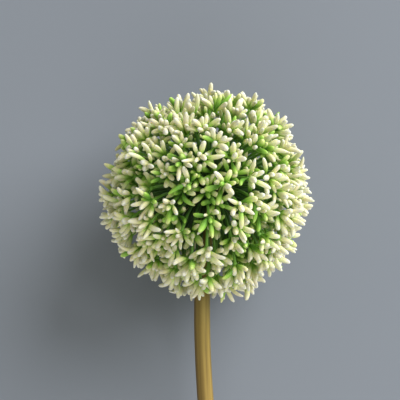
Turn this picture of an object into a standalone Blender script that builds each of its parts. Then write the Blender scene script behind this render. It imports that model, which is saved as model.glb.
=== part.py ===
"""Giant allium flower head in bud, picked and lying on a table.

A round stem carries a ball of florets. Each floret is a thin ray that grows out of the
receptacle on the stem's end, and spreads into a star of narrow buds. The head settles on
its lowest bud tips, and the stem slopes from it down to its cut end.

Blender 4.5, metres, +Z up. The origin is on the table under the middle of the flower. The
stem runs towards -Y, and the head's top faces +Y.
"""

import math
import random

import bmesh
import bpy
from mathutils import Matrix, Vector, kdtree

# The head as a whole.
HEAD_RADIUS = 0.075
HEAD_HEIGHT = 0.0708  # of its centre above the table, so that several low tips give a little
TIPS_GIVE = 0.0012  # how far a low tip may be pressed flat, past which it bends aside
FLORETS = 112
BARE_POLE = math.radians(21)  # no floret stands nearer to the stem's direction than this

# A ray, from the receptacle to its star of buds.
STAR_RADIUS = 0.0605  # from the head's centre to the middle of a star
STAR_RADIUS_SPREAD = 0.0022
RAY_RADIUS = 0.0008
RAY_ROOT_DEPTH = 0.0045  # from the head's centre, well inside the receptacle
RAY_TURNS_DOWN = 0.18  # share of a ray's angle from the axis that it gains after its root
RAY_WANDER = 0.06
RAYS_APART = 0.29  # between the directions of two rays
RAY_ROUNDS = 30

# The buds of one star: three to a ring, each ring at an angle from the ray and a turn round it.
BUD_RINGS = (
    (math.radians(26), math.radians(60)),
    (math.radians(68), math.radians(60)),
    (math.radians(88), 0),
)
BUD_LENGTH = 0.0142
BUD_LENGTH_SPREAD = 0.0014
BUD_BELLY_RADIUS = 0.0024
BUD_BELLY_AT = 0.76  # share of the bud's length
BUD_WANDER = math.radians(3.5)

# The hub of a star, as radius and height of its corners above the star's middle.
HUB_APEX = 0.0011
HUB_SHOULDER = (0.0012, 0.0007)
HUB_BASE = (0.0015, -0.0007)

# How the buds find room: each is a row of beads, given as share of its length and radius.
BEADS = ((0.36, 0.0012), (0.72, 0.0020), (0.95, 0.0012))
BUD_CLEARANCE = 0.0006
STEM_CLEARANCE = 0.0014
SISTERS_APART = 2 * math.sin(math.radians(20))  # between the directions of one star's buds
POSTS_AT = (0.45, 0.6, 0.75, 0.9, 1.0)  # shares of a ray that the buds keep off
RAY_ROOM = 0.0022
SPREADING_ROUNDS = 90
SPREADING_STEP = 0.5
HOME_PULL = 0.05

# The receptacle, a swollen knob with a flat underside that sits on the stem.
RECEPTACLE_RADIUS = 0.0092
RECEPTACLE_FOOT = 0.0074  # from the head's centre to the flat underside
SEAT_GAP = 0.0003

# The stem, from the head's centre to the cut end.
STEM_LENGTH = 0.260
STEM_TOP_RADIUS = 0.0053
STEM_CUT_RADIUS = 0.0058
STEM_BOW = 0.0040  # sideways, first towards -X
STEM_BOW_SPAN = 0.165  # from the head's centre to where it crosses back
STEM_SIDES = 16
STEM_RINGS = 22

SEED = 12

# Puts the middle of the flower's box over the origin, as its tips end unevenly.
UNEVEN = (0.0005, 0.0008, 0)

# The stem's lower edge meets the table at its cut.
SLOPE = math.asin(HEAD_HEIGHT / math.hypot(STEM_LENGTH, STEM_CUT_RADIUS)) - math.atan(
    STEM_CUT_RADIUS / STEM_LENGTH
)
STEM_REACH = STEM_LENGTH * math.cos(SLOPE) + STEM_CUT_RADIUS * math.sin(SLOPE)
HEAD_CENTRE = Vector((0, (STEM_REACH - HEAD_RADIUS) / 2, HEAD_HEIGHT)) + Vector(UNEVEN)

# Turns the flower's own frame, +Z up its axis and +Y to the table, into the part's.
FLOWER_TURN = Matrix.Rotation(SLOPE - math.pi / 2, 3, "X")


def clear_scene():
    for obj in list(bpy.data.objects):
        bpy.data.objects.remove(obj)


def material(name, colour, roughness):
    made = bpy.data.materials.new(name)
    made.use_nodes = True
    shader = made.node_tree.nodes["Principled BSDF"]
    shader.inputs["Base Color"].default_value = (*colour, 1)
    shader.inputs["Roughness"].default_value = roughness
    shader.inputs["Metallic"].default_value = 0
    return made


def add_object(name, bm, mat, collection=None):
    """The bmesh as an object, in the part's frame."""
    bmesh.ops.recalc_face_normals(bm, faces=bm.faces)
    if bm.calc_volume(signed=True) < 0:
        bmesh.ops.reverse_faces(bm, faces=bm.faces)
    mesh = bpy.data.meshes.new(name)
    bm.to_mesh(mesh)
    bm.free()
    mesh.materials.append(mat)
    obj = bpy.data.objects.new(name, mesh)
    (collection or bpy.context.scene.collection).objects.link(obj)
    return obj


def in_part(point):
    """A point of the flower's own frame in the part's frame."""
    return HEAD_CENTRE + FLOWER_TURN @ point


def polar(from_axis, around, length=1.0):
    """A vector at an angle from +Z, turned around it."""
    return Vector(
        (
            length * math.sin(from_axis) * math.cos(around),
            length * math.sin(from_axis) * math.sin(around),
            length * math.cos(from_axis),
        )
    )


def stem_bow(below):
    """The stem's sideways offset, this far below the head's centre."""
    return -STEM_BOW * math.sin(math.pi * below / STEM_BOW_SPAN)


def stem_centre(below):
    return Vector((stem_bow(below), 0, -below))


def build_stem(mat):
    """A slightly bowed and tapered rod, its ends cut square."""
    bm = bmesh.new()
    top = RECEPTACLE_FOOT + SEAT_GAP
    rings = []
    for i in range(STEM_RINGS + 1):
        share = i / STEM_RINGS
        below = top + share * (STEM_LENGTH - top)
        radius = STEM_TOP_RADIUS + share * (STEM_CUT_RADIUS - STEM_TOP_RADIUS)
        ring = []
        for k in range(STEM_SIDES):
            edge = polar(math.pi / 2, 2 * math.pi * k / STEM_SIDES, radius)
            ring.append(bm.verts.new(in_part(stem_centre(below) + edge)))
        rings.append(ring)
    for upper, lower in zip(rings, rings[1:]):
        for k in range(STEM_SIDES):
            after = (k + 1) % STEM_SIDES
            bm.faces.new((upper[k], upper[after], lower[after], lower[k]))
    bm.faces.new(rings[0])
    bm.faces.new(rings[-1])
    stem = add_object("stem", bm, mat)
    stem.data.shade_smooth()
    stem.data.set_sharp_from_angle(angle=math.radians(40))


def build_receptacle(mat):
    bm = bmesh.new()
    bmesh.ops.create_icosphere(bm, subdivisions=2, radius=RECEPTACLE_RADIUS)
    cut = bmesh.ops.bisect_plane(
        bm,
        geom=bm.verts[:] + bm.edges[:] + bm.faces[:],
        plane_co=(0, 0, -RECEPTACLE_FOOT),
        plane_no=(0, 0, -1),
        clear_outer=True,
    )
    rim = [part for part in cut["geom_cut"] if isinstance(part, bmesh.types.BMEdge)]
    bmesh.ops.edgenet_fill(bm, edges=rim)
    for vert in bm.verts:
        vert.co = in_part(vert.co)
    return add_object("umbel", bm, mat)


def floret_directions():
    """Round the ball on a golden spiral, each a little astray, no two closer than they fit."""
    golden = math.pi * (3 - math.sqrt(5))
    lowest = -math.cos(BARE_POLE)
    directions = []
    for i in range(FLORETS):
        height = 1 - (1 - lowest) * (i + 0.5) / FLORETS
        astray = Vector([random.gauss(0, RAY_WANDER) for _ in range(3)])
        directions.append((polar(math.acos(height), golden * i) + astray).normalized())
    for _ in range(RAY_ROUNDS):
        moved = []
        for i, here in enumerate(directions):
            push = Vector()
            for k, there in enumerate(directions):
                apart = (here - there).length
                if k != i and apart < RAYS_APART:
                    push += (here - there).normalized() * (RAYS_APART - apart) / 2
            below = lowest - (here + push).z
            push.z += max(below, 0)
            moved.append((here + push).normalized())
        directions = moved
    return directions


def star_frame(along):
    """Axes with Z along the ray, at a random turn about it."""
    side = along.orthogonal().normalized()
    frame = Matrix((side, along.cross(side), along)).transposed()
    return frame @ Matrix.Rotation(random.uniform(0, 2 * math.pi), 3, "Z")


def grow_florets():
    """For each floret, its ray as three points, its star's frame and its buds."""
    rays, frames, stars = [], [], []
    for direction in floret_directions():
        tilt = math.acos(direction.z)
        around = math.atan2(direction.y, direction.x)
        radius = STAR_RADIUS + random.gauss(0, STAR_RADIUS_SPREAD)
        star = polar(tilt, around, radius)
        leaves = tilt * (1 - RAY_TURNS_DOWN)
        root = polar(leaves, around, RAY_ROOT_DEPTH)
        knee = polar(leaves + 0.35 * (tilt - leaves), around, 0.45 * radius)
        frame = star_frame((star - knee).normalized())
        buds = []
        for angle, turn in BUD_RINGS:
            for k in range(3):
                heading = polar(angle + random.gauss(0, BUD_WANDER), turn + 2 * math.pi * k / 3)
                heading = frame @ heading
                buds.append((heading, BUD_LENGTH + random.gauss(0, BUD_LENGTH_SPREAD)))
        rays.append((root, knee, star))
        frames.append(frame)
        stars.append(buds)
    return rays, frames, stars


def bead_pushes(beads, owners, rays, table):
    """What pushes each bead of a bud, given as rows of place, radius and weight."""
    tree = kdtree.KDTree(len(beads))
    for i, (place, _, _) in enumerate(beads):
        tree.insert(place, i)
    tree.balance()
    posts = kdtree.KDTree(len(rays) * len(POSTS_AT))
    for i, (_, knee, star) in enumerate(rays):
        for k, share in enumerate(POSTS_AT):
            posts.insert(knee.lerp(star, share), i * len(POSTS_AT) + k)
    posts.balance()
    pushes = []
    for (here, radius, _), owner in zip(beads, owners):
        push = Vector()
        for there, index, apart in tree.find_range(here, 2 * BUD_BELLY_RADIUS + BUD_CLEARANCE):
            room = radius + beads[index][1] + BUD_CLEARANCE
            if owners[index] != owner and apart < room:
                push += (here - there).normalized() * (room - apart)
        for there, index, apart in posts.find_range(here, radius + RAY_ROOM):
            if index // len(POSTS_AT) != owner:
                push += 2 * (here - there).normalized() * (radius + RAY_ROOM - apart)
        off_stem = here - stem_centre(-here.z)
        room = STEM_TOP_RADIUS + radius + STEM_CLEARANCE
        if here.z < 0 and off_stem.length < room:
            push += 4 * off_stem.normalized() * (room - off_stem.length)
        height = HEAD_HEIGHT + here.dot(table) + TIPS_GIVE
        if height < 0:
            push -= 2 * table * height
        pushes.append(push)
    return pushes


def spread_buds(rays, stars):
    """Turns the buds about their roots, clear of each other, of the rays, of the stem and of
    the table, and shortens a bud that would stand out of the head's ball."""
    table = FLOWER_TURN.inverted() @ Vector((0, 0, 1))
    wanted = [[heading.copy() for heading, _ in star] for star in stars]
    for _ in range(SPREADING_ROUNDS):
        beads, owners = [], []
        for owner, star in enumerate(stars):
            for heading, length in star:
                for share, radius in BEADS:
                    place = rays[owner][-1] + heading * (length * share)
                    beads.append((place, radius, 1 / (length * max(share, 0.5))))
                    owners.append(owner)
        pushes = iter(zip(bead_pushes(beads, owners, rays, table), beads))
        for owner, star in enumerate(stars):
            turned = []
            for k, (heading, length) in enumerate(star):
                turn = (wanted[owner][k] - heading) * HOME_PULL
                for _ in BEADS:
                    push, (_, _, weight) = next(pushes)
                    turn += push * weight * SPREADING_STEP
                for other, _ in star:
                    apart = (heading - other).length
                    if 0 < apart < SISTERS_APART:
                        turn += (heading - other).normalized() * (SISTERS_APART - apart) / 2
                turned.append(((heading + turn).normalized(), length))
            stars[owner] = turned
    for owner, star in enumerate(stars):
        for k, (heading, length) in enumerate(star):
            while (rays[owner][-1] + heading * length).length > HEAD_RADIUS:
                length *= 0.99
            star[k] = (heading, length)


def draw_out(bm, corners, centre, heading, radius):
    """A new ring of three corners round a point ahead of the old ones, skinned to them."""
    side = heading.orthogonal().normalized()
    up = heading.cross(side)
    middle = sum((corner.co for corner in corners), Vector()) / 3
    seen = [((corner.co - middle).dot(side), (corner.co - middle).dot(up)) for corner in corners]
    winds = seen[0][0] * seen[1][1] - seen[0][1] * seen[1][0]
    step = math.copysign(2 * math.pi / 3, winds)
    lead = sum(
        (Matrix.Rotation(-step * k, 2) @ Vector(at) for k, at in enumerate(seen)), Vector((0, 0))
    )
    first = math.atan2(lead.y, lead.x)
    ring = []
    for k in range(3):
        turn = first + step * k
        off = side * math.cos(turn) + up * math.sin(turn)
        ring.append(bm.verts.new(centre + off * radius))
    for k in range(3):
        after = (k + 1) % 3
        bm.faces.new((corners[k], corners[after], ring[after], ring[k]))
    return ring


def build_floret(ray, frame, buds, mat, collection):
    """A hub of ten faces, the lowest drawn out into the ray and the others into buds."""
    root, knee, star = ray
    bm = bmesh.new()
    apex = bm.verts.new(star + frame @ Vector((0, 0, HUB_APEX)))
    rings = []
    for (radius, height), turn in ((HUB_SHOULDER, 0), (HUB_BASE, math.pi / 3)):
        corners = []
        for k in range(3):
            off = polar(math.pi / 2, turn + 2 * math.pi * k / 3, radius)
            corners.append(bm.verts.new(star + frame @ (off + Vector((0, 0, height)))))
        rings.append(corners)
    shoulder, base = rings
    faces = [(apex, shoulder[k], shoulder[(k + 1) % 3]) for k in range(3)]
    faces += [(shoulder[k], shoulder[(k + 1) % 3], base[k]) for k in range(3)]
    faces += [(base[(k + 2) % 3], base[k], shoulder[k]) for k in range(3)]
    for corners, (heading, length) in zip(faces, buds):
        middle = star + heading * (BUD_BELLY_AT * length)
        belly = draw_out(bm, corners, middle, heading, BUD_BELLY_RADIUS)
        tip = bm.verts.new(star + heading * length)
        for k in range(3):
            bm.faces.new((belly[k], belly[(k + 1) % 3], tip))
    ring = draw_out(bm, base, knee, (knee - star).normalized(), RAY_RADIUS)
    ring = draw_out(bm, ring, root, (root - knee).normalized(), RAY_RADIUS)
    bm.faces.new(ring)
    for vert in bm.verts:
        vert.co = in_part(vert.co)
    add_object("floret", bm, mat, collection)


def join_all(base, collection):
    """One Boolean union of the base with everything in the collection, applied."""
    union = base.modifiers.new("union", "BOOLEAN")
    union.operation = "UNION"
    union.operand_type = "COLLECTION"
    union.collection = collection
    union.solver = "MANIFOLD"
    bpy.context.view_layer.objects.active = base
    bpy.ops.object.modifier_apply(modifier=union.name)
    for obj in list(collection.objects):
        bpy.data.objects.remove(obj)
    bpy.data.collections.remove(collection)


def keep_main_body(obj):
    """Drops the loose scraps of a union, and fills the hollows that it sealed."""
    bm = bmesh.new()
    bm.from_mesh(obj.data)
    left = set(bm.verts)
    bodies = []
    while left:
        body = {left.pop()}
        front = list(body)
        while front:
            vert = front.pop()
            for edge in vert.link_edges:
                other = edge.other_vert(vert)
                if other in left:
                    left.remove(other)
                    body.add(other)
                    front.append(other)
        bodies.append(body)
    bodies.sort(key=len)
    for body in bodies[:-1]:
        bmesh.ops.delete(bm, geom=list(body), context="VERTS")
    bm.to_mesh(obj.data)
    bm.free()


def press_on_table(obj):
    """Flattens the lowest tips where they touch the table."""
    bm = bmesh.new()
    bm.from_mesh(obj.data)
    cut = bmesh.ops.bisect_plane(
        bm,
        geom=bm.verts[:] + bm.edges[:] + bm.faces[:],
        plane_co=(0, 0, 0),
        plane_no=(0, 0, -1),
        clear_outer=True,
    )
    rims = [part for part in cut["geom_cut"] if isinstance(part, bmesh.types.BMEdge)]
    bmesh.ops.edgenet_fill(bm, edges=rims)
    bm.to_mesh(obj.data)
    bm.free()


def build_umbel(mat):
    rays, frames, stars = grow_florets()
    spread_buds(rays, stars)
    umbel = build_receptacle(mat)
    collection = bpy.data.collections.new("florets")
    bpy.context.scene.collection.children.link(collection)
    for ray, frame, buds in zip(rays, frames, stars):
        build_floret(ray, frame, buds, mat, collection)
    join_all(umbel, collection)
    press_on_table(umbel)
    keep_main_body(umbel)


def main():
    clear_scene()
    random.seed(SEED)
    build_stem(material("stem_skin", (0.36, 0.28, 0.10), 0.45))
    build_umbel(material("buds", (0.72, 0.70, 0.48), 0.5))


main()
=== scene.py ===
"""Dresses the giant allium flower head: fine buds, rays, receptacle and stem, their materials,
and the studio.

The layout of the florets starts as the part's own, by the same rule and seed. Then its stars
move a little, its buds are drawn in and varied, and more florets grow between them. Metres,
+Z up, the part's own frame.
"""

import math
import random
from collections import namedtuple

import bpy
import numpy as np
from mathutils import Matrix, Vector, kdtree


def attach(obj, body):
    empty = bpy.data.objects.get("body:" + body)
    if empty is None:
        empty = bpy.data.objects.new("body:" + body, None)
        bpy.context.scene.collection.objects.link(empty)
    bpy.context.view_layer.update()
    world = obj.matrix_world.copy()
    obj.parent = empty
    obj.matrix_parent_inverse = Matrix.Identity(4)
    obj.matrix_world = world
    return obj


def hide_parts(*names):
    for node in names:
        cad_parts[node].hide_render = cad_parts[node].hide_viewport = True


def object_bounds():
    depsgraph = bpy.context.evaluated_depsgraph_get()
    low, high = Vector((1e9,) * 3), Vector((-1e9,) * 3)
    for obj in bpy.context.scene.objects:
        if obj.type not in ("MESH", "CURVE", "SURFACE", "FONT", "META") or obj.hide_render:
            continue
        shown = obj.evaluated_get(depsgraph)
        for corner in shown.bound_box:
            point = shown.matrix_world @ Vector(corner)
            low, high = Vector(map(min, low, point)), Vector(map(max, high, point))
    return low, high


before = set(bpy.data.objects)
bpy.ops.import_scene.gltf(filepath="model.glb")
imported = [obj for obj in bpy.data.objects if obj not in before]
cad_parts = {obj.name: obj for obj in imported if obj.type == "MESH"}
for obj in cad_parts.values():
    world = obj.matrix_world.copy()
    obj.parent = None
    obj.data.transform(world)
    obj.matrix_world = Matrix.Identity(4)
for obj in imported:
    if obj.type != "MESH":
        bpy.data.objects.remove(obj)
cad_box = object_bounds()

# ---- The layout, as the part has it ----

# The head as a whole.
HEAD_RADIUS = 0.075
HEAD_HEIGHT = 0.0708  # of its centre above the table
TIPS_GIVE = 0.0012  # how far a low tip may be pressed flat, past which it bends aside
BARE_POLE = math.radians(21)  # no floret of the part stands nearer to the stem's direction

# A ray, from the receptacle to its star of buds.
RAY_ROOT_DEPTH = 0.0045  # from the head's centre, well inside the receptacle
RAY_TURNS_DOWN = 0.18  # share of a ray's angle from the axis that it gains after its root
KNEE_TURN = 0.35  # share of that gain which a ray has at its knee
KNEE_AT = 0.45  # share of the star's distance from the head's centre
RAY_WANDER = 0.06
RAYS_APART = 0.29  # between the directions of two rays
RAY_ROUNDS = 30

# The florets of one kind: how many, how far out their stars are, and the buds of a star, in
# rings, each ring at an angle from the ray and a turn round it.
Crop = namedtuple("Crop", "count radius radius_spread rings length length_spread")
RING_BUDS = 3
PART_CROP = Crop(
    count=112,
    radius=0.0605,
    radius_spread=0.0022,
    rings=(
        (math.radians(26), math.radians(60)),
        (math.radians(68), math.radians(60)),
        (math.radians(88), 0),
    ),
    length=0.0142,
    length_spread=0.0014,
)
BUD_BELLY_RADIUS = 0.0024
BUD_WANDER = math.radians(3.5)

# How the buds find room: each is a row of beads, given as share of its length and radius, that
# keep clear of other stars' beads. Sisters apart is between the directions of one star's buds.
Fit = namedtuple("Fit", "beads clearance ray_room sisters_apart rounds reach")
PART_FIT = Fit(
    beads=((0.36, 0.0012), (0.72, 0.0020), (0.95, 0.0012)),
    clearance=0.0006,
    ray_room=0.0022,
    sisters_apart=2 * math.sin(math.radians(20)),
    rounds=90,
    reach=HEAD_RADIUS,
)
STEM_CLEARANCE = 0.0014
POSTS_AT = (0.45, 0.6, 0.75, 0.9, 1.0)  # shares of a ray that the buds keep off
# How hard a ray, the stem and the table push, where another bud pushes with 1.
RAY_PUSH = 2
STEM_PUSH = 4
TABLE_PUSH = 2
SHORTEST_LEVER = 0.5  # share of a bud: nearer to its root, a push turns it no faster
SPREADING_STEP = 0.5
HOME_PULL = 0.05
SHORTENING = 0.99  # a bud that reaches too far is cut to this share until it fits

# The receptacle, a swollen knob with a flat underside that sits on the stem.
RECEPTACLE_RADIUS = 0.0092
RECEPTACLE_FOOT = 0.0074  # from the head's centre to the flat underside
SEAT_GAP = 0.0003

# The stem, from the head's centre to the cut end.
STEM_LENGTH = 0.260
STEM_TOP_RADIUS = 0.0053
STEM_CUT_RADIUS = 0.0058
STEM_BOW = 0.0040  # sideways
STEM_BOW_SPAN = 0.165  # from the head's centre to where it crosses back

SEED = 12

# Puts the middle of the part's box over the origin, as its tips end unevenly.
UNEVEN = (0.0005, 0.0008, 0)

# The stem's lower edge meets the table at its cut.
SLOPE = math.asin(HEAD_HEIGHT / math.hypot(STEM_LENGTH, STEM_CUT_RADIUS)) - math.atan(
    STEM_CUT_RADIUS / STEM_LENGTH
)
STEM_REACH = STEM_LENGTH * math.cos(SLOPE) + STEM_CUT_RADIUS * math.sin(SLOPE)
HEAD_CENTRE = Vector((0, (STEM_REACH - HEAD_RADIUS) / 2, HEAD_HEIGHT)) + Vector(UNEVEN)

# Turns the flower's own frame, +Z up its axis and +Y to the table, into the part's.
FLOWER_TURN = Matrix.Rotation(SLOPE - math.pi / 2, 3, "X")


def polar(from_axis, around, length=1.0):
    """A vector at an angle from +Z, turned around it."""
    return Vector(
        (
            length * math.sin(from_axis) * math.cos(around),
            length * math.sin(from_axis) * math.sin(around),
            length * math.cos(from_axis),
        )
    )


def stem_bow(below):
    """The stem's sideways offset, this far below the head's centre."""
    return -STEM_BOW * math.sin(math.pi * below / STEM_BOW_SPAN)


def stem_centre(below):
    """The middle of the stem, this far below the head's centre."""
    return Vector((stem_bow(below), 0, -below))


def floret_directions():
    """Round the ball on a golden spiral, each a little astray, no two closer than they fit."""
    golden = math.pi * (3 - math.sqrt(5))
    lowest = -math.cos(BARE_POLE)
    directions = []
    for i in range(PART_CROP.count):
        height = 1 - (1 - lowest) * (i + 0.5) / PART_CROP.count
        astray = Vector([random.gauss(0, RAY_WANDER) for _ in range(3)])
        directions.append((polar(math.acos(height), golden * i) + astray).normalized())
    for _ in range(RAY_ROUNDS):
        moved = []
        for i, here in enumerate(directions):
            push = Vector()
            for k, there in enumerate(directions):
                apart = (here - there).length
                if k != i and apart < RAYS_APART:
                    push += (here - there).normalized() * (RAYS_APART - apart) / 2
            below = lowest - (here + push).z
            push.z += max(below, 0)
            moved.append((here + push).normalized())
        directions = moved
    return directions


def star_frame(along):
    """Axes with Z along the ray, at a random turn about it."""
    side = along.orthogonal().normalized()
    axes = Matrix((side, along.cross(side), along)).transposed()
    return axes @ Matrix.Rotation(random.uniform(0, 2 * math.pi), 3, "Z")


def grow_floret(direction, crop):
    """One floret's ray as three points, and its buds."""
    tilt = math.acos(direction.z)
    around = math.atan2(direction.y, direction.x)
    radius = crop.radius + random.gauss(0, crop.radius_spread)
    star = polar(tilt, around, radius)
    leaves = tilt * (1 - RAY_TURNS_DOWN)
    root = polar(leaves, around, RAY_ROOT_DEPTH)
    knee = polar(leaves + KNEE_TURN * (tilt - leaves), around, KNEE_AT * radius)
    axes = star_frame((star - knee).normalized())
    buds = []
    for angle, turn in crop.rings:
        for k in range(RING_BUDS):
            from_ray = angle + random.gauss(0, BUD_WANDER)
            heading = polar(from_ray, turn + 2 * math.pi * k / RING_BUDS)
            buds.append((axes @ heading, crop.length + random.gauss(0, crop.length_spread)))
    return (root, knee, star), buds


def grow_florets():
    """The part's florets."""
    rays, stars = [], []
    for direction in floret_directions():
        ray, buds = grow_floret(direction, PART_CROP)
        rays.append(ray)
        stars.append(buds)
    return rays, stars


def bead_pushes(beads, owners, rays, table, fit):
    """What pushes each bead of a bud, given as rows of place, radius and weight."""
    tree = kdtree.KDTree(len(beads))
    for i, (place, _, _) in enumerate(beads):
        tree.insert(place, i)
    tree.balance()
    posts = kdtree.KDTree(len(rays) * len(POSTS_AT))
    for i, (_, knee, star) in enumerate(rays):
        for k, share in enumerate(POSTS_AT):
            posts.insert(knee.lerp(star, share), i * len(POSTS_AT) + k)
    posts.balance()
    pushes = []
    for (here, radius, _), owner in zip(beads, owners):
        push = Vector()
        for there, index, apart in tree.find_range(here, 2 * BUD_BELLY_RADIUS + fit.clearance):
            room = radius + beads[index][1] + fit.clearance
            if owners[index] != owner and apart < room:
                push += (here - there).normalized() * (room - apart)
        room = radius + fit.ray_room
        for there, index, apart in posts.find_range(here, room):
            if index // len(POSTS_AT) != owner:
                push += RAY_PUSH * (here - there).normalized() * (room - apart)
        off_stem = here - stem_centre(-here.z)
        room = STEM_TOP_RADIUS + radius + STEM_CLEARANCE
        if here.z < 0 and off_stem.length < room:
            push += STEM_PUSH * off_stem.normalized() * (room - off_stem.length)
        height = HEAD_HEIGHT + here.dot(table) + TIPS_GIVE
        if height < 0:
            push -= TABLE_PUSH * table * height
        pushes.append(push)
    return pushes


def spread_buds(rays, stars, fit):
    """Turns the buds about their roots, clear of each other, of the rays, of the stem and of
    the table, and shortens a bud that would stand out of the fit's reach."""
    table = FLOWER_TURN.inverted() @ Vector((0, 0, 1))
    wanted = [[heading.copy() for heading, _ in star] for star in stars]
    for _ in range(fit.rounds):
        beads, owners = [], []
        for owner, star in enumerate(stars):
            for heading, length in star:
                for share, radius in fit.beads:
                    place = rays[owner][-1] + heading * (length * share)
                    lever = length * max(share, SHORTEST_LEVER)
                    beads.append((place, radius, 1 / lever))
                    owners.append(owner)
        pushes = iter(zip(bead_pushes(beads, owners, rays, table, fit), beads))
        for owner, star in enumerate(stars):
            turned = []
            for k, (heading, length) in enumerate(star):
                turn = (wanted[owner][k] - heading) * HOME_PULL
                for _ in fit.beads:
                    push, (_, _, weight) = next(pushes)
                    turn += push * weight * SPREADING_STEP
                for other, _ in star:
                    apart = (heading - other).length
                    if 0 < apart < fit.sisters_apart:
                        turn += (heading - other).normalized() * (fit.sisters_apart - apart) / 2
                turned.append(((heading + turn).normalized(), length))
            stars[owner] = turned
    for owner, star in enumerate(stars):
        for k, (heading, length) in enumerate(star):
            while (rays[owner][-1] + heading * length).length > fit.reach:
                length *= SHORTENING
            star[k] = (heading, length)


# ---- The finer layout ----

# The florets between the part's: some a little deeper, some far inside.
OUTER_CROP = Crop(
    count=84,
    radius=0.0568,
    radius_spread=0.0032,
    rings=(
        (math.radians(12), math.radians(60)),
        (math.radians(34), 0),
        (math.radians(53), math.radians(60)),
    ),
    length=0.0158,
    length_spread=0.0022,
)
INNER_CROP = Crop(
    count=96,
    radius=0.0475,
    radius_spread=0.0040,
    rings=(
        (math.radians(18), math.radians(60)),
        (math.radians(46), 0),
        (math.radians(68), math.radians(60)),
    ),
    length=0.0130,
    length_spread=0.0016,
)
FILLER_TRIES = 60  # places drawn for each, of which the one with the most room is taken
FILLER_BARE_POLE = math.radians(13)  # no added floret stands nearer to the stem's direction

# The part's buds stand wide, as their roots need room. Of a bud's angle from its ray, about
# this share is kept, with this spread.
LEAN = 0.54
LEAN_SPREAD = 0.20

# How far each of the part's stars moves along its ray, at random between these.
STAR_DEPTHS = (-0.0052, 0.0022)

# The share of a star's buds that is missing, and the lengths of the rest as shares of what
# they were: of the buds within this angle of the ray, and of the others.
Thinning = namedtuple("Thinning", "missing lengths")
MIDDLE = math.radians(24)
MIDDLE_BUDS = Thinning(missing=0.24, lengths=(0.62, 1.22))
SIDE_BUDS = Thinning(missing=0.06, lengths=(0.84, 1.10))
LONGEST_BUD = 0.0178

# A place without added florets: its direction in the part's frame, and half its width.
OPENING = (-0.23, -0.48, 0.85)
OPENING_ANGLE = math.radians(14)

HANG = 0.0038  # how far the lowest stars hang

FINE_FIT = Fit(
    beads=((0.32, 0.0010), (0.55, 0.0016), (0.78, 0.0019), (0.98, 0.0020)),
    clearance=0.0003,
    ray_room=0.0016,
    sisters_apart=2 * math.sin(math.radians(15.5)),
    rounds=50,
    reach=0.0768,
)

# How far a bud keeps from the sides of the part's box, at shares of its length.
BUD_ROOMS = ((1.0, 0.0003), (0.92, 0.0014), (0.75, 0.0021))


def grow_between(rays, stars, crop):
    """Adds a crop of florets between the others, each in the widest of some random places."""
    taken = [star.normalized() for _, _, star in rays]
    lowest = -math.cos(FILLER_BARE_POLE)
    for _ in range(crop.count):
        drawn = [
            polar(math.acos(random.uniform(lowest, 1)), random.uniform(0, 2 * math.pi))
            for _ in range(FILLER_TRIES)
        ]
        best = max(drawn, key=lambda here: min((here - there).length for there in taken))
        taken.append(best)
        ray, buds = grow_floret(best, crop)
        rays.append(ray)
        stars.append(buds)


def lean_out(ray, buds):
    """Draws the buds of a star in towards the line of its ray."""
    along = (ray[2] - ray[1]).normalized()
    for k, (heading, length) in enumerate(buds):
        kept = random.gauss(LEAN, LEAN_SPREAD)
        turn = Matrix.Rotation((kept - 1) * along.angle(heading), 3, along.cross(heading))
        buds[k] = (turn @ heading, length)


def settle(rays):
    """Sets each star at a depth of its own, so that the head's outline is uneven."""
    for i, (root, knee, star) in enumerate(rays):
        along = (star - knee).normalized()
        rays[i] = (root, knee, star + along * random.uniform(*STAR_DEPTHS))


def thin_out(rays, stars):
    """Drops some buds and changes the length of the others, so that no star is regular."""
    for i, (_, knee, star) in enumerate(rays):
        along = (star - knee).normalized()
        kept = []
        for heading, length in stars[i]:
            rule = MIDDLE_BUDS if along.angle(heading) < MIDDLE else SIDE_BUDS
            if random.random() > rule.missing:
                kept.append((heading, min(length * random.uniform(*rule.lengths), LONGEST_BUD)))
        stars[i] = kept


def open_up(rays, stars):
    """Takes out the added florets where the photographed head is open."""
    opening = FLOWER_TURN.inverted() @ Vector(OPENING)
    for i in reversed(range(PART_CROP.count, len(rays))):
        if rays[i][-1].angle(opening) < OPENING_ANGLE:
            del rays[i], stars[i]


def hang(rays):
    """Draws the stars round the stem down a little: there the head is not quite round."""
    for i, (root, knee, star) in enumerate(rays):
        low = star.copy()
        low.z -= HANG * max(-star.normalized().z, 0) ** 2
        rays[i] = (root, knee, low)


def stands_out(place, room):
    """Whether a ball there would stand out of the part's box, on the sides the head reaches."""
    low, high = cad_box
    sides = place.x - room < low[0] or place.x + room > high[0]
    return sides or place.y + room > high[1] or place.z + room > high[2]


def fit_in_box(rays, stars):
    """Shortens each bud whose tip or belly would stand out of the part's box."""
    for (_, _, star), buds in zip(rays, stars):
        for k, (heading, length) in enumerate(buds):
            while any(
                stands_out(HEAD_CENTRE + FLOWER_TURN @ (star + heading * (length * share)), room)
                for share, room in BUD_ROOMS
            ):
                length *= SHORTENING
            buds[k] = (heading, length)


def lay_out():
    """All florets, the part's and those between them, from the crown to the stem."""
    random.seed(SEED)
    rays, stars = grow_florets()
    spread_buds(rays, stars, PART_FIT)
    for ray, buds in zip(rays, stars):
        lean_out(ray, buds)
    settle(rays)
    grow_between(rays, stars, OUTER_CROP)
    grow_between(rays, stars, INNER_CROP)
    thin_out(rays, stars)
    open_up(rays, stars)
    spread_buds(rays, stars, FINE_FIT)
    hang(rays)
    fit_in_box(rays, stars)
    return sorted(zip(rays, stars), key=lambda floret: -floret[0][-1].normalized().z)


# ---- Fine shapes ----

BUD_SIDES = 10
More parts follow.
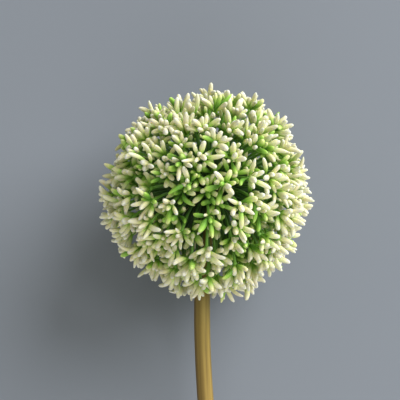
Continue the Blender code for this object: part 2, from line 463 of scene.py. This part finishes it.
# A bud's radius in metres along its length, of a blunt one and of a pointed one: a slim neck,
# a belly, and the tip.
BUD_PROFILE = (
    (0.00, 0.00030, 0.00030),
    (0.04, 0.00050, 0.00050),
    (0.13, 0.00052, 0.00052),
    (0.21, 0.00063, 0.00065),
    (0.29, 0.00092, 0.00098),
    (0.38, 0.00126, 0.00135),
    (0.50, 0.00150, 0.00157),
    (0.62, 0.00162, 0.00161),
    (0.75, 0.00165, 0.00147),
    (0.86, 0.00154, 0.00117),
    (0.93, 0.00127, 0.00083),
    (0.972, 0.00091, 0.00054),
    (0.993, 0.00048, 0.00029),
)
BUD_BLUNTNESS = 1.5  # above 1, more buds are blunt than pointed
BUD_FATNESS_SPREAD = 0.12
BUD_RIBS = 3
BUD_RIB_DEPTH = 0.045
# How far a bud's middle bows, as a share of its length, and what multiplies that towards the
# line of its ray and aside, as mean and spread.
BUD_BEND = 0.10
BEND_INWARDS = (0.5, 1.0)
BEND_ASIDE = (0, 0.4)

RAY_SIDES = 8
RAY_RINGS = 15
RAY_RADII = (0.00085, 0.00080, 0.00088, 0.00100)  # at even steps from the root to the star
RAY_SWAY = 0.0006
# The hub of a star: how far past the star's middle each ring is, and its radius.
HUB_RINGS = ((-0.0010, 0.00105), (-0.0003, 0.00150), (0.0004, 0.00145), (0.0010, 0.00090))
HUB_TIP = 0.0013

KNOB_SIDES = 28
KNOB_RINGS = 15
KNOB_FOOT_SHARES = (0.3, 0.7, 0.97)  # of the underside's radius, where it has a ring
KNOB_RIB_DEPTH = 0.01

STEM_SIDES = 48
STEM_RINGS = 90
STEM_END_SHARES = (0.5, 0.9)  # of the end's radius, where it has a ring
# How much thicker the stem is than the part's, and the height, rate and start of the waves
# on that.
STEM_SWELL = 0.015
STEM_WAVES = ((0.004, 9.0, 0.0), (0.003, 23.0, 1.0))
STEM_RIB_DEPTH = 0.006
STEM_RISE = 12  # from the cut end, swell and ribs are in full after one part in so many
SHARP_EDGE = math.radians(50)
# The ribs of the stem and the knob: how many, where they start and how strong they are.
RIB_WAVES = ((7, 0.6, 1.0), (11, 2.0, 0.6))

# The noise of the buds and of the stem's skin is in millimetres, and each bud has its own
# stretch of it, up to this far off.
MILLIMETRES = 1000
GRAIN_STRETCH = 900

# Where the buds are still green: patches, as a direction from the head's centre in the part's
# frame, the cosine of half its width, and the share of green buds in its middle.
GREEN_PATCHES = (
    ((-0.34, -0.26, 0.90), 0.92, 0.50),
    ((-0.84, 0.44, 0.32), 0.95, 0.40),
    ((-0.03, -0.54, 0.84), 0.95, 0.50),
    ((0.44, 0.84, 0.30), 0.96, 0.25),
    ((0.44, -0.65, 0.62), 0.95, 0.45),
    ((0.66, 0.26, 0.71), 0.96, 0.30),
    ((0.60, 0.10, -0.80), 0.90, 0.60),
    ((-0.30, 0.60, -0.75), 0.92, 0.60),
)
PATCH_RISE = 2.5  # above 1, a patch's share is reached before its middle
PATCH_GREENS = (0.3, 1.0)
GREEN_LOOSE = 0.08  # share of green buds elsewhere
LOOSE_GREENS = (0.35, 1.0)
GREEN_TINGE = (0.04, 0.06)  # of every bud, as mean and spread
# Buds whose tips end inside this radius are greener, fully so at this depth below it.
INSIDE_RADIUS = 0.068
INSIDE_DEPTH = 0.008
INSIDE_GREEN = 0.40

# The buds' pieces, from the crown to the stem.
BUD_PIECES = ("buds_crown", "buds_shoulder", "buds_waist", "buds_base")

# No piece reaches lower than this.
TABLE_CLEARANCE = 0.00005


def in_part(points):
    """Points of the flower's own frame, as rows, in the part's frame."""
    turn = np.array(FLOWER_TURN)
    return points @ turn.T + np.array(HEAD_CENTRE)


def make_mesh(name, points, faces, attributes, mat):
    """A smooth mesh object from rows of points, with float or vector attributes on them."""
    mesh = bpy.data.meshes.new(name)
    mesh.from_pydata(points.tolist(), [], faces)
    for key, values in attributes.items():
        kind = "FLOAT" if values.ndim == 1 else "FLOAT_VECTOR"
        field = "value" if values.ndim == 1 else "vector"
        mesh.attributes.new(key, kind, "POINT").data.foreach_set(field, values.ravel())
    mesh.shade_smooth()
    mesh.materials.append(mat)
    obj = bpy.data.objects.new(name, mesh)
    bpy.context.scene.collection.objects.link(obj)
    return obj


def tube_faces(rings, sides, start):
    """Faces of a tube of rings of points, closed by a fan to the point before them and one to
    the point after them."""
    faces = []
    for i in range(rings - 1):
        here = start + i * sides
        for k in range(sides):
            after = (k + 1) % sides
            faces.append((here + k, here + after, here + sides + after, here + sides + k))
    last = start + (rings - 1) * sides
    for k in range(sides):
        after = (k + 1) % sides
        faces.append((start - 1, start + after, start + k))
        faces.append((last + k, last + after, last + sides))
    return faces


def press(points):
    """Flattens what would be under the table or out of the part's box."""
    low, high = (np.array(corner) for corner in cad_box)
    low[2] = TABLE_CLEARANCE
    return np.clip(points, low, high)


def greenness(place):
    """How green a bud is at this place on the head, 0 to 1."""
    direction = (Vector(place) - HEAD_CENTRE).normalized()
    green = random.uniform(*LOOSE_GREENS) if random.random() < GREEN_LOOSE else 0.0
    for centre, edge, strength in GREEN_PATCHES:
        near = direction.dot(Vector(centre).normalized())
        if near > edge:
            share = strength * min(1.0, PATCH_RISE * (near - edge) / (1 - edge))
            if random.random() < share:
                green = max(green, random.uniform(*PATCH_GREENS))
    inside = (INSIDE_RADIUS - (Vector(place) - HEAD_CENTRE).length) / INSIDE_DEPTH
    green += INSIDE_GREEN * min(max(inside, 0), 1)
    return min(green + max(random.gauss(*GREEN_TINGE), 0), 1.0)


def bud_points(root, heading, length, along_ray):
    """A bud's rings of points, base to tip, with a point at each end."""
    side = heading.orthogonal().normalized()
    side = Matrix.Rotation(random.uniform(0, 2 * math.pi), 3, heading) @ side
    up = heading.cross(side)
    lift = along_ray - heading * along_ray.dot(heading)
    bend = lift * (length * BUD_BEND * random.gauss(*BEND_INWARDS))
    bend += side * (length * BUD_BEND * random.gauss(*BEND_ASIDE))
    fatness = 1 + random.gauss(0, BUD_FATNESS_SPREAD)
    shares, blunt, pointed = np.array(BUD_PROFILE).T
    radii = (blunt + (pointed - blunt) * random.random() ** BUD_BLUNTNESS) * fatness
    turns = np.arange(BUD_SIDES) * 2 * math.pi / BUD_SIDES
    ribs = 1 + BUD_RIB_DEPTH * np.cos(BUD_RIBS * turns)
    middles = np.array(root) + np.outer(shares, np.array(heading) * length)
    middles += np.outer(4 * shares * (1 - shares), np.array(bend))
    across = np.outer(np.cos(turns) * ribs, np.array(side))
    across += np.outer(np.sin(turns) * ribs, np.array(up))
    rings = middles[:, None, :] + radii[:, None, None] * across[None]
    tip = np.array(root) + np.array(heading) * length
    points = np.vstack([middles[:1], rings.reshape(-1, 3), tip[None]])
    grain = np.zeros_like(points)
    offset = random.uniform(0, GRAIN_STRETCH)
    grain[1:-1, 0] = (radii[:, None] * np.cos(turns)[None]).ravel() * MILLIMETRES + offset
    grain[1:-1, 1] = (radii[:, None] * np.sin(turns)[None]).ravel() * MILLIMETRES
    grain[1:-1, 2] = np.repeat(shares * length * MILLIMETRES, BUD_SIDES)
    grain[0] = (offset, 0, 0)
    grain[-1] = (offset, 0, length * MILLIMETRES)
    along = np.concatenate([[0.0], np.repeat(shares, BUD_SIDES), [1.0]])
    return points, along, grain


def build_buds(name, florets, mat):
    """The buds of some florets as one piece."""
    points, faces, along, grain, green, tone = [], [], [], [], [], []
    count = 0
    for (_, knee, star), buds in florets:
        along_ray = (star - knee).normalized()
        for heading, length in buds:
            rows, shares, grains = bud_points(star, heading, length, along_ray)
            rows = press(in_part(rows))
            faces += tube_faces(len(BUD_PROFILE), BUD_SIDES, count + 1)
            count += len(rows)
            points.append(rows)
            along.append(shares)
            grain.append(grains)
            green.append(np.full(len(rows), greenness(rows[-1])))
            tone.append(np.full(len(rows), random.random()))
    attributes = {
        "along": np.concatenate(along),
        "green": np.concatenate(green),
        "tone": np.concatenate(tone),
        "grain": np.vstack(grain),
    }
    return make_mesh(name, np.vstack(points), faces, attributes, mat)


def ray_points(ray):
    """A ray's rings of points on a smooth curve, ending in the small hub of its star."""
    root, knee, star = ray
    at = (knee - root).length / ((knee - root).length + (star - knee).length)
    pull = (knee - root * (1 - at) ** 2 - star * at**2) / (2 * at * (1 - at))
    side = (star - root).orthogonal().normalized()
    side = Matrix.Rotation(random.uniform(0, 2 * math.pi), 3, (star - root).normalized()) @ side
    sway = side * random.gauss(0, RAY_SWAY)
    middles, radii, shares = [], [], []
    for i in range(RAY_RINGS):
        share = i / RAY_RINGS
        middle = root * (1 - share) ** 2 + pull * (2 * share * (1 - share)) + star * share**2
        middles.append(middle + sway * math.sin(math.pi * share))
        step = share * (len(RAY_RADII) - 1)
        low = int(step)
        radii.append(RAY_RADII[low] + (step - low) * (RAY_RADII[low + 1] - RAY_RADII[low]))
        shares.append(share)
    heading = (star - pull).normalized()
    for ahead, radius in HUB_RINGS:
        middles.append(star + heading * ahead)
        radii.append(radius)
        shares.append(1.0)
    across = heading.orthogonal().normalized()
    up = heading.cross(across)
    turns = np.arange(RAY_SIDES) * 2 * math.pi / RAY_SIDES
    circle = np.outer(np.cos(turns), np.array(across)) + np.outer(np.sin(turns), np.array(up))
    middles = np.array([tuple(middle) for middle in middles])
    rings = middles[:, None, :] + np.array(radii)[:, None, None] * circle[None]
    end = np.array(star + heading * HUB_TIP)
    points = np.vstack([middles[:1], rings.reshape(-1, 3), end[None]])
    along = np.concatenate([[0.0], np.repeat(shares, RAY_SIDES), [1.0]])
    return points, along


def build_rays(rays, mat):
    """All rays with the hubs of their stars as one piece."""
    points, faces, along, tone = [], [], [], []
    count = 0
    for ray in rays:
        rows, shares = ray_points(ray)
        faces += tube_faces(RAY_RINGS + len(HUB_RINGS), RAY_SIDES, count + 1)
        count += len(rows)
        points.append(in_part(rows))
        along.append(shares)
        tone.append(np.full(len(rows), random.random()))
    attributes = {"along": np.concatenate(along), "tone": np.concatenate(tone)}
    return make_mesh("rays", np.vstack(points), faces, attributes, mat)


def turned_points(profile, sides, centre_of):
    """Rings about the flower's axis from rows of height, radius and depth of ribs, with a point
    at each end."""
    rows = []
    turns = np.arange(sides) * 2 * math.pi / sides
    waves = sum(strength * np.cos(count * turns + at) for count, at, strength in RIB_WAVES)
    strongest = sum(strength for _, _, strength in RIB_WAVES)
    for height, radius, ribs in profile:
        wave = 1 + ribs * waves / strongest
        ring = np.stack([radius * wave * np.cos(turns), radius * wave * np.sin(turns)], 1)
        ring = np.column_stack([ring, np.full(sides, height)])
        rows.append(ring + np.array(centre_of(height)))
    first = np.array([0, 0, profile[0][0]]) + np.array(centre_of(profile[0][0]))
    last = np.array([0, 0, profile[-1][0]]) + np.array(centre_of(profile[-1][0]))
    return np.vstack([first[None], *rows, last[None]])


def build_receptacle(mat):
    """The swollen knob that the rays grow out of."""
    low = -RECEPTACLE_FOOT
    foot = math.sqrt(RECEPTACLE_RADIUS**2 - RECEPTACLE_FOOT**2)
    profile = [(low, foot * share, 0) for share in KNOB_FOOT_SHARES]
    lowest = math.asin(low / RECEPTACLE_RADIUS)
    for i in range(1, KNOB_RINGS):
        tilt = lowest + (math.pi / 2 - lowest) * i / KNOB_RINGS
        radius = RECEPTACLE_RADIUS * math.cos(tilt)
        profile.append((RECEPTACLE_RADIUS * math.sin(tilt), radius, KNOB_RIB_DEPTH))
    points = in_part(turned_points(profile, KNOB_SIDES, lambda height: (0, 0, 0)))
    faces = tube_faces(len(profile), KNOB_SIDES, 1)
    attributes = {"along": np.zeros(len(points)), "tone": np.full(len(points), 0.5)}
    return make_mesh("receptacle", points, faces, attributes, mat)


def build_scape(mat):
    """The bare stem: round, faintly ribbed, bowed, cut square."""
    top = RECEPTACLE_FOOT + SEAT_GAP
    profile = [(-top, STEM_TOP_RADIUS * share, 0) for share in STEM_END_SHARES]
    for i in range(STEM_RINGS + 1):
        share = i / STEM_RINGS
        radius = STEM_TOP_RADIUS + share * (STEM_CUT_RADIUS - STEM_TOP_RADIUS)
        waves = (height * math.sin(rate * share + at) for height, rate, at in STEM_WAVES)
        above_cut = min((1 - share) * STEM_RISE, 1)
        swell = 1 + sum(waves, STEM_SWELL) * above_cut
        depth = top + share * (STEM_LENGTH - top)
        profile.append((-depth, radius * swell, STEM_RIB_DEPTH * above_cut))
    for share in reversed(STEM_END_SHARES):
        profile.append((-STEM_LENGTH, STEM_CUT_RADIUS * share, 0))
    points = turned_points(profile, STEM_SIDES, lambda height: (stem_bow(-height), 0, 0))
    below = -points[:, 2].copy()
    bows = np.array([stem_bow(depth) for depth in below])
    grain = np.stack([points[:, 0] - bows, points[:, 1], below], 1) * MILLIMETRES
    faces = [tuple(reversed(face)) for face in tube_faces(len(profile), STEM_SIDES, 1)]
    attributes = {"along": below / STEM_LENGTH, "grain": grain}
    obj = make_mesh("scape", press(in_part(points)), faces, attributes, mat)
    obj.data.set_sharp_from_angle(angle=SHARP_EDGE)
    return obj


# ---- Materials ----

# Colours along a bud as it ripens, from green to cream.
BUD_COLOURS = (
    (0.00, (0.130, 0.310, 0.042)),
    (0.18, (0.240, 0.470, 0.066)),
    (0.31, (0.360, 0.600, 0.115)),
    (0.41, (0.530, 0.705, 0.230)),
    (0.50, (0.680, 0.760, 0.380)),
    (0.66, (0.760, 0.770, 0.495)),
    (0.84, (0.760, 0.765, 0.625)),
    (1.00, (0.730, 0.775, 0.715)),
)
BUD_WARMTH = (0.97, 0.84, 0.66)
GREEN_DELAY = 0.62  # how far down its length a fully green bud's colours are held back

# Colours along a ray, from the receptacle to its star: green, with painted shade deep in the
# head and painted light towards the star.
RAY_GREENS_AND_DEPTH_SHADE = (
    (0.00, (0.080, 0.150, 0.040)),
    (0.35, (0.045, 0.110, 0.026)),
    (0.70, (0.085, 0.210, 0.036)),
    (1.00, (0.190, 0.410, 0.055)),
)
RAY_SHADE = (0.62, 0.70, 0.66)

# Colours of the stem's bands, and what they are multiplied by: painted shadow of the head just
# under it, in blotches, along the fibres, and painted shade on the side turned away from the
# light.
STEM_COLOURS = (
    (0.28, (0.170, 0.112, 0.026)),
    (0.50, (0.300, 0.208, 0.052)),
    (0.72, (0.400, 0.285, 0.080)),
)
STEM_HEAD_SHADOW = (0.62, 0.80, 0.42)
HEAD_SHADOW_ALONG_STEM = ((0.26, (1, 1, 1)), (0.52, (0, 0, 0)))  # how much of it, along the stem
STEM_BLOTCH = (0.80, 0.72, 0.52)
STEM_FIBRE = (0.62, 0.52, 0.30)
STEM_SHADE = (0.62, 0.56, 0.46)

FLOOR_COLOURS = ((0.3, (0.190, 0.214, 0.257)), (0.7, (0.198, 0.222, 0.265)))  # hardly mottled

NOISE_ROUGHNESS = 0.55


class Nodes:
    """Short names for the nodes of one material."""

    def __init__(self, name):
        self.material = bpy.data.materials.new(name)
        self.material.use_nodes = True
        self.tree = self.material.node_tree
        self.shader = self.tree.nodes["Principled BSDF"]

    def link(self, value, socket):
        if isinstance(value, bpy.types.NodeSocket):
            self.tree.links.new(value, socket)
        else:
            socket.default_value = value

    def attribute(self, name, output="Fac"):
        node = self.tree.nodes.new("ShaderNodeAttribute")
        node.attribute_name = name
        return node.outputs[output]

    def place(self):
        return self.tree.nodes.new("ShaderNodeTexCoord").outputs["Object"]

    def math(self, operation, a, b=0.0, clamp=False):
        node = self.tree.nodes.new("ShaderNodeMath")
        node.operation = operation
        node.use_clamp = clamp
        self.link(a, node.inputs[0])
        self.link(b, node.inputs[1])
        return node.outputs[0]

    def stretched(self, vector, scale):
        node = self.tree.nodes.new("ShaderNodeMapping")
        self.link(vector, node.inputs["Vector"])
        node.inputs["Scale"].default_value = scale
        return node.outputs[0]

    def noise(self, vector, scale, detail):
        node = self.tree.nodes.new("ShaderNodeTexNoise")
        self.link(vector, node.inputs["Vector"])
        node.inputs["Scale"].default_value = scale
        node.inputs["Detail"].default_value = detail
        node.inputs["Roughness"].default_value = NOISE_ROUGHNESS
        return node.outputs["Fac"]

    def ramp(self, value, stops):
        node = self.tree.nodes.new("ShaderNodeValToRGB")
        ends = node.color_ramp.elements
        while len(ends) < len(stops):
            ends.new(0.5)
        for end, (at, colour) in zip(ends, stops):
            end.position = at
            end.color = (*colour, 1)
        self.link(value, node.inputs["Fac"])
        return node.outputs["Color"]

    def mix(self, share, a, b, how="MIX"):
        """A share of b over a, both colours from nodes, unless b is a constant one."""
        node = self.tree.nodes.new("ShaderNodeMix")
        node.data_type = "RGBA"
        node.blend_type = how
        self.link(share, node.inputs[0])
        self.link(a, node.inputs[6])
        self.link(b if isinstance(b, bpy.types.NodeSocket) else (*b, 1), node.inputs[7])
        return node.outputs[2]

    def spread(self, value, low, high, start=0.0, end=1.0):
        """Low to high as a value goes from the start to the end."""
        node = self.tree.nodes.new("ShaderNodeMapRange")
        self.link(value, node.inputs["Value"])
        node.inputs["From Min"].default_value = start
        node.inputs["From Max"].default_value = end
        node.inputs["To Min"].default_value = low
        node.inputs["To Max"].default_value = high
        return node.outputs["Result"]

    def across(self, vector):
        """A vector's x."""
        parts = self.tree.nodes.new("ShaderNodeSeparateXYZ")
        self.link(vector, parts.inputs[0])
        return parts.outputs["X"]

    def bump(self, height, strength, distance):
        node = self.tree.nodes.new("ShaderNodeBump")
        node.inputs["Strength"].default_value = strength
        node.inputs["Distance"].default_value = distance
        self.link(height, node.inputs["Height"])
        return node.outputs["Normal"]


def bud_material():
    """Waxy cream over a green neck, greener where the bud is less ripe."""
    n = Nodes("bud_skin")
    grain = n.attribute("grain", "Vector")
    streaks = n.noise(n.stretched(grain, (1.1, 1.1, 0.16)), scale=1.0, detail=3.0)
    mottle = n.noise(grain, scale=0.55, detail=4.0)
    delay = n.math("MULTIPLY", n.attribute("green"), GREEN_DELAY)
    ripeness = n.math("SUBTRACT", n.attribute("along"), delay)
    ripeness = n.math("ADD", ripeness, n.spread(streaks, -0.10, 0.10))
    ripeness = n.math("ADD", ripeness, n.spread(n.attribute("tone"), -0.06, 0.06), clamp=True)
    colour = n.ramp(ripeness, BUD_COLOURS)
    warm = n.mix(n.spread(n.attribute("tone"), 0.0, 0.90), colour, BUD_WARMTH, "MULTIPLY")
    colour = n.mix(mottle, colour, warm)
    n.link(colour, n.shader.inputs["Base Color"])
    n.link(n.spread(mottle, 0.38, 0.62), n.shader.inputs["Roughness"])
    fine = n.noise(n.stretched(grain, (3.5, 3.5, 0.9)), scale=1.0, detail=3.0)
    height = n.math("ADD", n.math("MULTIPLY", streaks, 0.7), n.math("MULTIPLY", fine, 0.3))
    n.link(n.bump(height, strength=0.35, distance=0.0003), n.shader.inputs["Normal"])
    n.shader.inputs["Specular IOR Level"].default_value = 0.25
    n.shader.inputs["Subsurface Weight"].default_value = 0.55
    n.shader.inputs["Subsurface Radius"].default_value = (1.0, 0.95, 0.5)
    n.shader.inputs["Subsurface Scale"].default_value = 0.0016
    return n.material


def ray_material():
    """Fresh green, with painted shade darkest in the depth of the head and painted light
    brightest at the stars.
    """
    n = Nodes("ray_skin")
    place = n.place()
    streaks = n.noise(place, scale=900.0, detail=3.0)
    blotches = n.noise(place, scale=140.0, detail=3.0)
    # Painted shade deep in the head and painted light at the stars, along each ray.
    colour = n.ramp(n.attribute("along"), RAY_GREENS_AND_DEPTH_SHADE)
    dark = n.mix(n.spread(n.attribute("tone"), 0.1, 0.8), colour, RAY_SHADE, "MULTIPLY")
    colour = n.mix(blotches, colour, dark)
    n.link(colour, n.shader.inputs["Base Color"])
    n.link(n.spread(blotches, 0.32, 0.55), n.shader.inputs["Roughness"])
    n.link(n.bump(streaks, strength=0.25, distance=0.0002), n.shader.inputs["Normal"])
    return n.material


def stem_material():
    """Olive-tan skin with soft lengthwise bands; painted shadow of the head makes it darker and
    greener just under it, and painted shade darkens the side turned away from the light.
    """
    n = Nodes("stem_skin")
    grain = n.attribute("grain", "Vector")
    bands = n.noise(n.stretched(grain, (0.42, 0.42, 0.012)), scale=1.0, detail=3.0)
    fibres = n.noise(n.stretched(grain, (2.2, 2.2, 0.05)), scale=1.0, detail=4.0)
    blotches = n.noise(n.stretched(grain, (0.10, 0.10, 0.05)), scale=1.0, detail=4.0)
    colour = n.ramp(bands, STEM_COLOURS)
    # Painted shadow of the head: the stem is darker and greener just under it.
    head_shaded = n.mix(0.55, colour, STEM_HEAD_SHADOW, "MULTIPLY")
    head_shadow = n.ramp(n.attribute("along"), HEAD_SHADOW_ALONG_STEM)
    colour = n.mix(n.math("MULTIPLY", head_shadow, 0.8), colour, head_shaded)
    colour = n.mix(n.spread(blotches, -0.1, 0.5), colour, STEM_BLOTCH, "MULTIPLY")
    colour = n.mix(n.spread(fibres, 0.0, 0.35), colour, STEM_FIBRE, "MULTIPLY")
    # Painted shade: the side of the stem turned away from the light is darker.
    shaded = n.mix(1.0, colour, STEM_SHADE, "MULTIPLY")
    colour = n.mix(n.spread(n.across(grain), 0.0, 1.0, start=1.0, end=-5.0), colour, shaded)
    n.link(colour, n.shader.inputs["Base Color"])
    n.link(n.spread(fibres, 0.34, 0.52), n.shader.inputs["Roughness"])
    height = n.math("ADD", n.math("MULTIPLY", bands, 0.6), n.math("MULTIPLY", fibres, 0.4))
    n.link(n.bump(height, strength=0.3, distance=0.0004), n.shader.inputs["Normal"])
    return n.material


def floor_material():
    """Plain grey, as the photograph's wall."""
    n = Nodes("studio_floor")
    cloud = n.noise(n.place(), scale=3.0, detail=2.0)
    n.link(n.ramp(cloud, FLOOR_COLOURS), n.shader.inputs["Base Color"])
    n.shader.inputs["Roughness"].default_value = 0.9
    return n.material


# ---- Studio ----

# How wide the view is at the head, and how far the head's centre is right of and above its
# middle.
VIEW_WIDTH = 0.2766
HEAD_RIGHT = 0.0054
HEAD_ABOVE = 0.0047
LENS = 85.0
SENSOR = 36.0
CLIP_START = 0.05
CLIP_END = 20

FLOOR_REACH = 4.0

# Each light's name, its place right of the head's centre, up from it and back to the camera,
# as the camera sees it, its size, power and colour.
LIGHTS = (
    ("key", (2.80, 2.50, 1.45), 4.0, 272.0, (1.0, 0.99, 0.97)),
    ("fill", (0.10, -1.50, 1.00), 2.0, 15.0, (1.0, 0.99, 0.95)),
    ("front", (1.00, 0.55, 2.00), 0.7, 6.0, (1.0, 0.99, 0.97)),
)
# The soft light from all round, and the grey that the camera sees past the floor.
SKY_COLOUR = (0.93, 0.91, 0.78)
SKY_STRENGTH = 0.44
BACKDROP_COLOUR = (0.235, 0.265, 0.300)


def build_camera():
    """Looks down on the flower, square to its stem. Gives its right, up and back."""
    data = bpy.data.cameras.new("camera")
    data.sensor_width = SENSOR
    data.lens = LENS
    data.clip_start = CLIP_START
    data.clip_end = CLIP_END
    camera = bpy.data.objects.new("camera", data)
    bpy.context.scene.collection.objects.link(camera)
    bpy.context.scene.camera = camera
    back = FLOWER_TURN @ Vector((0, -1, 0))
    up = FLOWER_TURN @ Vector((0, 0, 1))
    right = up.cross(back)
    aim = HEAD_CENTRE - right * HEAD_RIGHT - up * HEAD_ABOVE
    camera.location = aim + back * VIEW_WIDTH * LENS / SENSOR
    camera.rotation_mode = "QUATERNION"
    camera.rotation_quaternion = (-back).to_track_quat("-Z", "Y")
    return right, up, back


def add_light(name, place, aim, size, power, colour):
    """A round lamp, turned to what it is aimed at."""
    data = bpy.data.lights.new(name, "AREA")
    data.shape = "DISK"
    data.size = size
    data.energy = power
    data.color = colour
    light = bpy.data.objects.new(name, data)
    bpy.context.scene.collection.objects.link(light)
    light.location = place
    light.rotation_mode = "QUATERNION"
    light.rotation_quaternion = (aim - place).to_track_quat("-Z", "Y")


def build_floor():
    """A plain square, which the flower lies on."""
    reach = FLOOR_REACH
    corners = [(-reach, -reach, 0), (reach, -reach, 0), (reach, reach, 0), (-reach, reach, 0)]
    mesh = bpy.data.meshes.new("floor")
    mesh.from_pydata(corners, [], [(0, 1, 2, 3)])
    mesh.materials.append(floor_material())
    floor = bpy.data.objects.new("floor", mesh)
    bpy.context.scene.collection.objects.link(floor)


def build_surroundings():
    """Soft light from all round; seen by the camera it is as grey as the floor."""
    world = bpy.data.worlds.new("studio")
    world.use_nodes = True
    tree = world.node_tree
    light = tree.nodes["Background"]
    light.inputs["Color"].default_value = (*SKY_COLOUR, 1)
    light.inputs["Strength"].default_value = SKY_STRENGTH
    backdrop = tree.nodes.new("ShaderNodeBackground")
    backdrop.inputs["Color"].default_value = (*BACKDROP_COLOUR, 1)
    backdrop.inputs["Strength"].default_value = 1.0
    seen = tree.nodes.new("ShaderNodeLightPath").outputs["Is Camera Ray"]
    mix = tree.nodes.new("ShaderNodeMixShader")
    tree.links.new(seen, mix.inputs["Fac"])
    tree.links.new(light.outputs["Background"], mix.inputs[1])
    tree.links.new(backdrop.outputs["Background"], mix.inputs[2])
    tree.links.new(mix.outputs["Shader"], tree.nodes["World Output"].inputs["Surface"])
    bpy.context.scene.world = world


def build_studio():
    """The camera, the floor and the lights."""
    right, up, back = build_camera()
    build_floor()
    for name, (rightwards, upwards, backwards), size, power, colour in LIGHTS:
        place = HEAD_CENTRE + right * rightwards + up * upwards + back * backwards
        add_light(name, place, HEAD_CENTRE, size, power, colour)
    build_surroundings()
    bpy.context.scene.view_settings.view_transform = "Standard"


# ---- The dressed flower ----


def dress():
    """Builds the fine pieces and hides the part's nodes that they stand in for."""
    florets = lay_out()
    buds_skin = bud_material()
    rays_skin = ray_material()
    pieces = []
    share = len(florets) / len(BUD_PIECES)
    for i, name in enumerate(BUD_PIECES):
        some = florets[round(i * share) : round((i + 1) * share)]
        pieces.append(build_buds(name, some, buds_skin))
    pieces.append(build_rays([ray for ray, _ in florets], rays_skin))
    pieces.append(build_receptacle(rays_skin))
    for piece in pieces:
        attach(piece, "root")
        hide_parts("umbel")
    scape = build_scape(stem_material())
    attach(scape, "root")
    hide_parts("stem")


dress()
build_studio()
